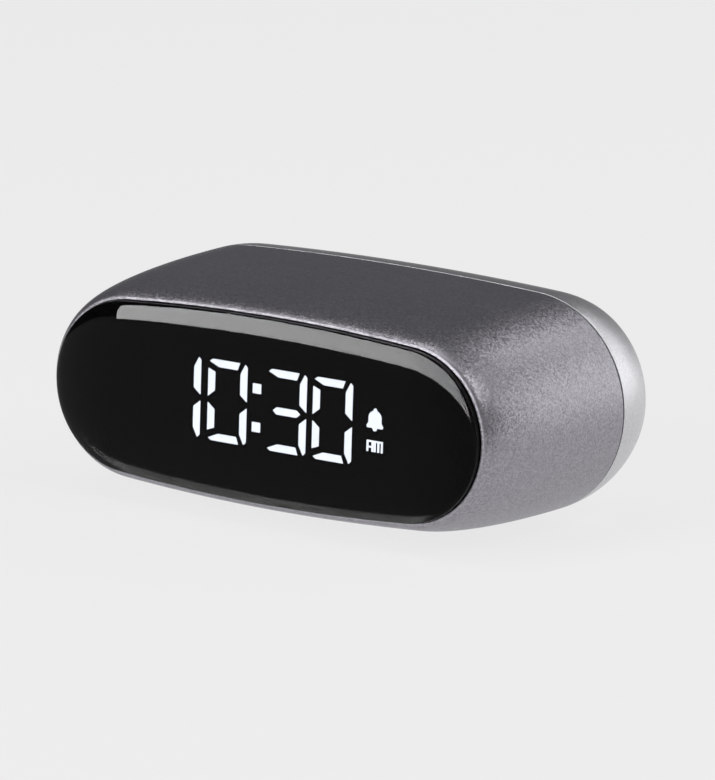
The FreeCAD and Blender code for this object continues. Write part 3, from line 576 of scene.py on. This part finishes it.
def lens_material(name):
    """Clear acrylic with a smoky tint, treated to give back little light."""
    material, tree, shader = new_material(
        name, IOR=1.49, Roughness=0.0, Transmission_Weight=1.0, Specular_Tint=(0.1, 0.1, 0.1, 1.0))
    grain = placed_group(tree, GRAIN, Grain_size=4.0, Patch_size=20.0)
    tone = blend_colours(tree, grain.outputs["Tone"], (0.145, 0.145, 0.145), (0.155, 0.155, 0.155))
    tree.links.new(tone, shader.inputs["Base Color"])
    return material


MATERIALS = {
    "body_paint": paint("gunmetal_paint", (0.335, 0.325, 0.355), 0.42, 0.26, 0.2, 0.2),
    "cover_paint": paint("silver_paint", (0.62, 0.62, 0.64), 0.4, 0.24, 0.1, 0.08),
    "lens": lens_material("smoky_acrylic"),
    "print": moulded("black_print", (0.0005, 0.0005, 0.0005), 0.7, depth=0.0, Specular_IOR_Level=0.0),
    "tape": moulded("black_tape", (0.02, 0.02, 0.02), 0.7),
    "lcd": moulded("dark_display_glass", (0.0005, 0.0005, 0.0005), 0.6, depth=0.0, Specular_IOR_Level=0.0),
    "lit": lit_material("lit_strokes", (0.86, 0.91, 1.0), 6.8),
    "backlight": moulded("milky_light_guide", (0.8, 0.8, 0.78), 0.35),
    "carrier": moulded("white_carrier_plastic", (0.7, 0.7, 0.68), 0.5),
    "board": moulded("green_board", (0.02, 0.12, 0.05), 0.4, grain_size=0.6),
    "chip": moulded("black_chip_resin", (0.015, 0.015, 0.015), 0.6),
    "pin": moulded("tinned_pins", (0.7, 0.7, 0.68), 0.3, Metallic=1.0),
    "screw": moulded("zinc_plated_steel", (0.5, 0.5, 0.52), 0.32, grain_size=0.15, Metallic=1.0),
    "battery": moulded("foil_pouch", (0.6, 0.6, 0.62), 0.35, grain_size=1.5, depth=0.02, Metallic=1.0),
    "black_plastic": moulded("black_moulding", (0.012, 0.012, 0.012), 0.5),
    "key": moulded("dark_grey_key_plastic", (0.03, 0.03, 0.032), 0.45, grain_size=0.18, depth=0.008),
    "socket": moulded("stainless_shell", (0.62, 0.61, 0.6), 0.25, grain_size=0.4, Metallic=1.0),
    "magnet": moulded("plated_magnet_steel", (0.35, 0.35, 0.37), 0.35, Metallic=1.0),
    "cone": moulded("treated_paper_cone", (0.012, 0.012, 0.012), 0.8, grain_size=0.5, depth=0.03),
    "foam": moulded("closed_cell_foam", (0.02, 0.02, 0.02), 0.9, grain_size=0.4, depth=0.05),
    "red_wire": moulded("red_insulation", (0.4, 0.015, 0.01), 0.4),
    "ribbon": moulded("pale_flat_cable", (0.7, 0.72, 0.75), 0.35),
    "pad": moulded("dark_silicone", (0.022, 0.022, 0.023), 0.6, grain_size=0.35, depth=0.02),
}


def dress_frame():
    """Gives every carried-over piece of the frame its finish."""
    for part in frame["record"]["subparts"]:
        node = frame["nodes"][part["node"]]
        for entry in node.material_slots:
            entry.material = MATERIALS[part["material_slot"]]


def settle(piece, body, slot, *nodes):
    """Says which body a piece rides on and hides the frame's nodes that it stands for; the slot argument is
    not used.
    """
    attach(piece, body)
    if nodes:
        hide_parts(*nodes)
    return piece


# Case

def case_shell_rows():
    """Seat and lip of the lens opening, the swelling skin, the parting edge and the inner wall."""
    opening = rim_lip
    seat_back = lens_seat + seat_wall
    rows = [(0.0, lens_seat, opening + seat_width), (0.0, lens_seat, opening), (0.0, rim_fillet, opening)]
    for turn in even_steps(0.0, math.pi / 2, 6)[1:]:
        rows.append((0.0, rim_fillet * (1 - math.sin(turn)), opening - rim_fillet * (1 - math.cos(turn))))
    for turn in even_steps(0.0, math.pi / 2, 56)[:-1]:
        depth = body_depth * (1 - math.cos(turn))
        if depth < body_depth - parting_fillet:
            rows.append((depth, depth, 0.0))
    for turn in even_steps(0.0, math.pi / 2, 4):
        depth = body_depth - parting_fillet * (1 - math.sin(turn))
        rows.append((depth, depth, parting_fillet * (1 - math.cos(turn))))
    rows.append((body_depth, body_depth, wall))
    for turn in reversed(even_steps(math.acos(1 - seat_back / body_depth), math.pi / 2, 24)[:-1]):
        depth = body_depth * (1 - math.cos(turn))
        rows.append((depth, depth, wall))
    rows.append((0.0, seat_back, opening + seat_width))
    return rows


def rear_cover_rows():
    """Inner hollow, spigot, reveal, drawn-in side and the rounded edge down to the flat back."""
    spigot_end = body_depth - spigot_reach
    hollow = spigot_inset + spigot_wall
    shoulder = body_depth + shoulder_depth
    rows = [(depth, depth, wall) for depth in reversed(even_steps(shoulder, cover_inside, 8))]
    rows += [(spigot_end, shoulder, hollow), (spigot_end, spigot_end, hollow)]
    rows += [(spigot_end, spigot_end, spigot_inset), (spigot_end, body_depth, spigot_inset)]
    rows += [(body_depth, body_depth, reveal_depth)]
    reveal_end = body_depth + reveal_width
    rows += [(reveal_end, reveal_end, reveal_depth)]
    for turn in even_steps(0.0, math.pi / 2, 4):
        depth = reveal_end + parting_fillet * (1 - math.cos(turn))
        rows.append((depth, depth, parting_fillet * (1 - math.sin(turn))))
    side_depth = cover_back - cover_edge_radius * (1 - math.sin(cover_edge_start))
    for depth in even_steps(reveal_end + parting_fillet, side_depth, 20)[1:]:
        rows.append((depth, depth, 0.0))
    for turn in even_steps(cover_edge_start, math.pi / 2, 12)[1:]:
        inset = cover_edge_radius * (math.cos(cover_edge_start) - math.cos(turn))
        depth = side_depth + cover_edge_radius * (math.sin(turn) - math.sin(cover_edge_start))
        rows.append((side_depth, depth, inset))
    return rows


def lens_rows():
    """Upright side, then a crown that rises by a quarter ellipse to the middle of the face."""
    edge = rim_lip + lens_gap
    rows = [(0.0, lens_back, edge), (0.0, 0.0, edge), (0.0, lens_edge_ease - lens_side, edge)]
    for turn in even_steps(0.0, math.pi / 2, 48):
        inset = lens_crown_width * (1 - math.cos(turn))
        rows.append((0.0, -lens_side - lens_crown * math.sin(turn), edge + inset))
    return rows


def pad_rings(margin, low, high, fillet):
    """Rounded strip under the belly: rings from its lowest face up."""
    half_width = (pad_high[0] - pad_low[0]) / 2
    half_depth = (pad_high[1] - pad_low[1]) / 2
    middle = (pad_high[1] + pad_low[1]) / 2
    rings = []
    levels = [(fillet * (1 - math.sin(turn)), low + fillet * (1 - math.cos(turn)))
              for turn in even_steps(0.0, math.pi / 2, 6)]
    for inset, height in levels + [(0.0, high)]:
        out = (margin - inset) * MM
        points = rounded_outline(half_width + out, half_depth + out, half_depth + out, 24)
        rings.append([Vector((across, middle + up, height * MM)) for across, up in points])
    return rings


def hole_rings(radius, x, z, start, flare_depth, steps=48):
    """Cutter for a round hole whose mouth is eased at a depth."""
    mouth = radius + 2 * hole_flare
    profile = [(radius, start), (radius, flare_depth - hole_flare)]
    profile += [(mouth, flare_depth + hole_flare), (mouth, flare_depth + cutter_reach)]
    return turned_rings(profile, x, z, steps)


def slot_rings(half_width, half_height, corner, x, z, start):
    """Cutter for a slot with rounded ends and an eased mouth in the flat back."""
    rings = []
    mouth = [(0.0, start), (0.0, cover_back - hole_flare)]
    mouth += [(2 * hole_flare, cover_back + hole_flare), (2 * hole_flare, cover_back + cutter_reach)]
    for grow, depth in mouth:
        outline = rounded_outline(half_width + grow, half_height + grow, corner + grow)
        rings.append([place(x + across, depth, z + up) for across, up in outline])
    return rings


def grille_tree(sample):
    """Copies one hole's cutter to a centre point and to rings of points around it."""
    tree, start, size = geometry_tree("sound_holes", {"Ring pitch": grille_pitch * MM})
    points = tree.nodes.new("GeometryNodeJoinGeometry")
    tree.links.new(start.outputs["Geometry"], points.inputs[0])
    for ring in range(1, grille_rings + 1):
        circle = tree.nodes.new("GeometryNodeMeshCircle")
        circle.inputs["Vertices"].default_value = 6 * ring
        tree.links.new((size["Ring pitch"] * float(ring)).socket, circle.inputs["Radius"])
        upright = tree.nodes.new("GeometryNodeTransform")
        upright.inputs["Rotation"].default_value = (math.pi / 2, 0.0, 0.0)
        tree.links.new(circle.outputs["Mesh"], upright.inputs["Geometry"])
        tree.links.new(upright.outputs["Geometry"], points.inputs[0])
    copies = tree.nodes.new("GeometryNodeInstanceOnPoints")
    tree.links.new(points.outputs[0], copies.inputs["Points"])
    tree.links.new(object_geometry(tree, sample), copies.inputs["Instance"])
    moved = tree.nodes.new("GeometryNodeTransform")
    moved.inputs["Translation"].default_value = place(speaker_x, 0.0, 0.0)
    tree.links.new(copies.outputs["Instances"], moved.inputs["Geometry"])
    return end_tree(tree, start, moved.outputs["Geometry"])


def object_geometry(tree, sample):
    node = tree.nodes.new("GeometryNodeObjectInfo")
    node.inputs["Object"].default_value = sample
    return node.outputs["Geometry"]


def point_piece(name, places):
    """Loose points for a tree to put copies on."""
    mesh = bpy.data.meshes.new(name)
    mesh.from_pydata([tuple(p) for p in places], [], [])
    return new_piece(name, mesh)


def local(rings, origin):
    """Rings measured from a point instead of the frame's origin."""
    return [[p - origin for p in ring] for ring in rings]


def grille_cutter():
    """All the sound holes as one cutter."""
    start = cover_inside - cutter_reach
    rings = hole_rings(grille_radius, 0.0, 0.0, start, cover_back, 24)
    material = MATERIALS["cover_paint"]
    sample = ringed_piece("sound_hole_sample", local(rings, place(0.0, 0.0, 0.0)), material)
    cutter = point_piece("sound_hole_cutter", [(0.0, 0.0, 0.0)])
    run_tree(cutter, grille_tree(sample), material)
    bpy.data.objects.remove(sample)
    return cutter


def key_places():
    """Middle of each rear key, read from the frame."""
    places = {}
    for name in ("set", "up", "down"):
        low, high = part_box(name + "_button")
        places[name] = ((low[0] + high[0]) / 2 / MM, (low[2] + high[2]) / 2 / MM - mid_z)
    return places


def cover_cutters():
    """Cutters for every opening in the rear cover."""
    material = MATERIALS["cover_paint"]
    start = cover_inside - cutter_reach
    cutters = [grille_cutter()]
    for name, (x, z) in key_places().items():
        rings = hole_rings(key_hole_radius, x, z, start, cover_back)
        cutters.append(ringed_piece(name + "_hole", rings, material))
    reach = (knob_width + slide_travel) / 2 + slide_clearance
    rise = knob_height / 2 + slide_clearance
    middle = slide_rest + slide_travel / 2
    rings = slot_rings(reach, rise, slide_slot_corner, middle, slide_height, start)
    cutters.append(ringed_piece("slide_slot", rings, material))
    reach = inlet_width / 2 + inlet_clearance
    rise = inlet_height / 2 + inlet_clearance
    rings = slot_rings(reach, rise, rise - end_slack, inlet_x, inlet_z, start)
    cutters.append(ringed_piece("inlet_slot", rings, material))
    for side in (-1, 1):
        rings = hole_rings(screw_head_radius + screw_clearance, side * screw_x, 0.0, start, cover_back)
        cutters.append(ringed_piece("screw_hole", rings, material))
    return cutters


def screw_tube(side):
    """Tube inside the cover that takes a screw's head, open at the back."""
    x = side * screw_x
    outer = screw_head_radius + tube_wall
    inner = screw_head_radius + screw_clearance
    shank = screw_radius + screw_clearance
    seat = body_depth + screw_seat
    end = cover_inside + tube_sunk
    profile = [(inner, end), (inner, seat), (shank, seat), (shank, body_depth)]
    profile += [(outer, body_depth), (outer, end)]
    return turned_rings(profile, x, 0.0, 48)


def build_case():
    """Body shell, rear cover with its screw tubes, lens and foot pad."""
    tree = swept_tree()
    shell = oval_piece("case_shell", case_shell_rows(), True, tree, MATERIALS["body_paint"])
    pocket_floor = pad_high[2] / MM
    pocket_cut = pad_rings(pad_clearance, -cutter_reach, pocket_floor, 0.0)
    pocket = ringed_piece("pad_pocket", pocket_cut, MATERIALS["body_paint"])
    cut(shell, [pocket])
    finish_mesh(shell)
    settle(shell, "case", "body_paint", "body_shell")
    cover = oval_piece("back_cover", rear_cover_rows(), False, tree, MATERIALS["cover_paint"])
    cut(cover, cover_cutters())
    finish_mesh(cover)
    settle(cover, "case", "cover_paint", "rear_cover")
    for side, name in ((-1, "left_screw_tube"), (1, "right_screw_tube")):
        tube = ringed_piece(name, screw_tube(side), MATERIALS["cover_paint"], closed=True)
        settle(tube, "case", "cover_paint")
    lens = oval_piece("display_lens", lens_rows(), False, tree, MATERIALS["lens"])
    settle(lens, "case", "lens", "front_lens")
    strip = pad_rings(0.0, pad_low[2] / MM, pad_high[2] / MM, pad_fillet)
    pad = ringed_piece("belly_pad", strip, MATERIALS["pad"])
    settle(pad, "case", "pad", "foot_pad")


# Rear controls

def triangle_rings(x, z, facing):
    """Cutter for an arrow mark in a key's face."""
    tip = arrow_size * facing
    tail = -arrow_tail_share * arrow_size * facing
    corners = [(0.0, tip), (-arrow_size, tail), (arrow_size, tail)]
    top = cover_back + key_proud
    return [[place(x + across, depth, z + up) for across, up in corners]
            for depth in (top - key_dish - mark_depth, top + cutter_reach)]


def dot_rings(x, z):
    """Cutter for a dot in a key's face."""
    top = cover_back + key_proud
    profile = [(dot_radius, top - key_dish - mark_depth), (dot_radius, top + cutter_reach)]
    return turned_rings(profile, x, z, 32)


def key_rings(name, x, z):
    """Dished cap with an eased edge, the flange behind the cover and the stem."""
    flange_back = cover_inside - key_flange_gap
    flange_front = flange_back - key_flange
    top = cover_back + key_proud
    stem_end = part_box(name + "_button")[0][1] / MM - rim_y
    profile = [(axis_radius, stem_end), (key_stem_radius, stem_end), (key_stem_radius, flange_front)]
    profile += [(key_flange_radius, flange_front), (key_flange_radius, flange_back)]
    profile.append((key_cap_radius, flange_back))
    for turn in even_steps(0.0, math.pi / 2, 6):
        radius = key_cap_radius - key_fillet * (1 - math.cos(turn))
        profile.append((radius, top - key_fillet * (1 - math.sin(turn))))
    edge = key_cap_radius - key_fillet - key_face_edge
    for share in even_steps(1.0, 0.0, 10):
        profile.append((max(edge * share, axis_radius), top - key_dish * (1 - share * share)))
    return turned_rings(profile, x, z, 72)


def build_keys():
    """A dot on the set key, arrows on the up and down keys."""
    for name, (x, z) in key_places().items():
        key = ringed_piece(name + "_key_cap", key_rings(name, x, z), MATERIALS["key"])
        mark = dot_rings(x, z) if name == "set" else triangle_rings(x, z, 1 if name == "up" else -1)
        cut(key, [ringed_piece("mark", mark, MATERIALS["key"])])
        finish_mesh(key)
        settle(key, name + "_key", "key", name + "_button")


def build_slide():
    """Ridged knob on its flange."""
    flange_back = cover_inside - key_flange_gap
    flange_front = flange_back - key_flange
    top = cover_back + knob_proud
    pitch = knob_width / knob_ridges
    outline = [(-knob_flange_width / 2, flange_front), (-knob_flange_width / 2, flange_back)]
    outline.append((-knob_width / 2, flange_back))
    for index in range(knob_ridges):
        left = -knob_width / 2 + pitch * index
        right = left + pitch
        left_drop = ridge_ease if index == 0 else ridge_groove
        right_drop = ridge_ease if index == knob_ridges - 1 else ridge_groove
        outline += [(left + ridge_ease, top - left_drop), (left + 2 * ridge_ease, top)]
        outline += [(right - 2 * ridge_ease, top), (right - ridge_ease, top - right_drop)]
    outline += [(knob_width / 2, flange_back), (knob_flange_width / 2, flange_back)]
    outline.append((knob_flange_width / 2, flange_front))
    rings = []
    for rise in (-knob_height / 2, knob_height / 2):
        rings.append([place(slide_rest + across, depth, slide_height + rise) for across, depth in outline])
    knob = ringed_piece("slide_knob", rings, MATERIALS["key"])
    ease_edges = knob.modifiers.new("ease", "BEVEL")
    ease_edges.width = knob_edge_bevel * MM
    ease_edges.segments = 2
    ease_edges.limit_method = "ANGLE"
    keep_result(knob)
    finish_mesh(knob)
    settle(knob, "alarm_slide", "key", "alarm_switch_knob")


def build_inlet():
    """Rounded steel shell with an open mouth."""
    low = inlet_front_y - rim_y
    end = cover_back - inlet_recess
    rows = [(0.0, low), (0.0, end - inlet_outer_ease), (inlet_outer_ease, end)]
    rows += [(inlet_wall - inlet_inner_ease, end), (inlet_wall, end - inlet_outer_ease)]
    rows.append((inlet_wall, low + inlet_floor))
    rings = []
    for inset, depth in rows:
        half_height = inlet_height / 2 - inset
        outline = rounded_outline(inlet_width / 2 - inset, half_height, half_height - end_slack)
        rings.append([place(inlet_x + across, depth, inlet_z + up) for across, up in outline])
    shell = ringed_piece("inlet_shell", rings, MATERIALS["socket"])
    settle(shell, "case", "socket", "usb_socket")


def screw_sample():
    """One cross-head screw, standing on its seat at the origin and facing back."""
    profile = [(axis_radius, -screw_length), (screw_radius - screw_tip_ease, -screw_length)]
    profile += [(screw_radius, screw_tip_length - screw_length), (screw_radius, 0.0)]
    profile.append((screw_head_radius, 0.0))
    for turn in even_steps(0.0, math.pi / 2, 5):
        radius = screw_head_radius - screw_crown * (1 - math.cos(turn))
        profile.append((radius, screw_head_height - screw_crown * (1 - math.sin(turn))))
    profile.append((axis_radius, screw_head_height))
    origin = place(0.0, 0.0, 0.0)
    rings = local(turned_rings(profile, 0.0, 0.0, 48), origin)
    screw = ringed_piece("screw_sample", rings, MATERIALS["screw"])
    arms = []
    foot = (screw_head_height - cross_depth, cross_foot_share)
    mouth = (screw_head_height + cross_overshoot, 1.0)
    for half_width, half_height in ((cross_reach, cross_half_width), (cross_half_width, cross_reach)):
        rings = []
        for depth, share in (foot, mouth):
            outline = rounded_outline(half_width * share, half_height * share, cross_corner * share, 3)
            rings.append([place(across, depth, up) - origin for across, up in outline])
        arms.append(ringed_piece("cross", rings, MATERIALS["screw"]))
    cut(screw, arms)
    return finish_mesh(screw)


def build_screws():
    """The same screw on each of its places."""
    sample = screw_sample()
    tree, start, size = geometry_tree("screws_in_place", {"Size": 1.0})
    copies = tree.nodes.new("GeometryNodeInstanceOnPoints")
    tree.links.new(start.outputs["Geometry"], copies.inputs["Points"])
    tree.links.new(object_geometry(tree, sample), copies.inputs["Instance"])
    tree.links.new(size["Size"].socket, copies.inputs["Scale"])
    end_tree(tree, start, copies.outputs["Instances"])
    places = [place(side * screw_x, body_depth + screw_seat, 0.0) for side in (-1, 1)]
    screws = point_piece("case_screws", places)
    run_tree(screws, tree, MATERIALS["screw"])
    finish_mesh(screws)
    bpy.data.objects.remove(sample)
    settle(screws, "case", "screw", "cover_screws")


# Floor, light and camera

floor_grey = 0.871
floor_even_share = 0.88
floor_mirrored_share = 0.75
floor_reach = 4.0
floor_steps = 8
lamp_aim_height = 0.02

# The photograph's camera: turned about the clock in degrees, moved in millimetres
view_azimuth = math.radians(34.099)
view_elevation = math.radians(12.193)
view_roll = math.radians(1.693)
view_distance = 1369.17
view_right = -15.584
view_up = -3.488
view_focal_pixels = 8000.0
view_height_pixels = 780.0
sensor_width = 36.0


def build_floor():
    """Pale floor that keeps a soft shadow."""
    mesh = bpy.data.meshes.new("floor")
    lines = even_steps(-floor_reach, floor_reach, floor_steps)
    corners = [(x, y, 0.0) for y in lines for x in lines]
    across = floor_steps + 1
    firsts = [row * across + step for row in range(floor_steps) for step in range(floor_steps)]
    faces = [(first, first + 1, first + across + 1, first + across) for first in firsts]
    mesh.from_pydata(corners, [], faces)
    floor = new_piece("floor", mesh)
    material, tree, shader = new_material("pale_floor", Roughness=1.0, Specular_IOR_Level=0.0)
    grain = placed_group(tree, GRAIN, Grain_size=2.0, Patch_size=300.0)
    tone = blend_colours(tree, grain.outputs["Tone"], (0.83, 0.83, 0.83), (0.85, 0.85, 0.85))
    tree.links.new(tone, shader.inputs["Base Color"])
    glow = tree.nodes.new("ShaderNodeEmission")
    glow.inputs["Color"].default_value = (floor_grey, floor_grey, floor_grey, 1.0)
    path = tree.nodes.new("ShaderNodeLightPath")
    direct, glossy, through = [Sum(tree, path.outputs["Is %s Ray" % kind])
                               for kind in ("Camera", "Glossy", "Transmission")]
    mirrored = (glossy + through).at_most(1.0)
    seen = (direct * floor_even_share + mirrored * floor_mirrored_share).at_most(1.0)
    mix = tree.nodes.new("ShaderNodeMixShader")
    tree.links.new(seen.socket, mix.inputs["Fac"])
    tree.links.new(shader.outputs[0], mix.inputs[1])
    tree.links.new(glow.outputs[0], mix.inputs[2])
    tree.links.new(mix.outputs[0], tree.nodes["Material Output"].inputs["Surface"])
    mesh.materials.append(material)


def softbox(name, azimuth, elevation, distance, width, height, radiance):
    """Area lamp that looks at the clock from a direction, with an even brightness on its face."""
    a = math.radians(azimuth)
    e = math.radians(elevation)
    back = Vector((math.sin(a) * math.cos(e), -math.cos(a) * math.cos(e), math.sin(e)))
    lamp = bpy.data.lights.new(name, "AREA")
    lamp.shape = "RECTANGLE"
    lamp.size = width
    lamp.size_y = height
    lamp.energy = radiance * math.pi * width * height
    item = new_piece(name, lamp)
    item.location = back * distance + Vector((0.0, 0.0, lamp_aim_height))
    item.rotation_euler = back.to_track_quat("Z", "Y").to_euler()
    return item


def build_light():
    """Studio lamps, and one in front of the key whose reflection only the lens carries."""
    world = bpy.data.worlds.new("studio")
    bpy.context.scene.world = world
    world.use_nodes = True
    ground = world.node_tree.nodes["Background"]
    ground.inputs["Color"].default_value = (0.11, 0.11, 0.115, 1.0)
    # Azimuth and elevation in degrees, then distance, width and height in metres, and radiance
    softbox("overhead_softbox", -45.0, 74.0, 1.3, 0.7, 0.7, 2.6)
    softbox("front_key", -17.0, 18.0, 1.2, 0.95, 0.75, 4.4)
    softbox("back_right_card", 146.0, 9.0, 1.0, 1.0, 0.75, 1.5)
    softbox("shoulder_card", 165.0, 41.0, 1.1, 0.4, 0.34, 2.4)
    softbox("crest_light", 88.0, 47.0, 1.2, 0.6, 0.45, 3.6)
    # Far brighter than the others, because the lens gives back a tenth of what plain acrylic does
    lens_light = softbox("lens_light", -15.0, 16.5, 1.1, 0.96, 0.68, 40.0)
    receivers = bpy.data.collections.new("lens_light_receivers")
    receivers.objects.link(bpy.data.objects["display_lens"])
    lens_light.light_linking.receiver_collection = receivers


def build_camera():
    """The photograph's view: long lens, slightly turned about its own axis."""
    right = Vector((math.cos(view_azimuth), math.sin(view_azimuth), 0.0))
    level = math.cos(view_elevation)
    back = Vector((math.sin(view_azimuth) * level, -math.cos(view_azimuth) * level, math.sin(view_elevation)))
    up = back.cross(right)
    turned_right = right * math.cos(view_roll) + up * math.sin(view_roll)
    turned_up = up * math.cos(view_roll) - right * math.sin(view_roll)
    data = bpy.data.cameras.new("camera")
    data.sensor_width = sensor_width
    data.lens = sensor_width * view_focal_pixels / view_height_pixels
    camera = new_piece("camera", data)
    away = back * view_distance - turned_right * view_right - turned_up * view_up
    turn = Matrix((turned_right, turned_up, back)).transposed().to_4x4()
    camera.matrix_world = Matrix.Translation(away * MM + place(0.0, 0.0, 0.0)) @ turn
    bpy.context.scene.camera = camera


dress_frame()
build_case()
build_keys()
build_slide()
build_inlet()
build_screws()
build_floor()
build_light()
build_camera()
bpy.context.scene.view_settings.view_transform = "Standard"
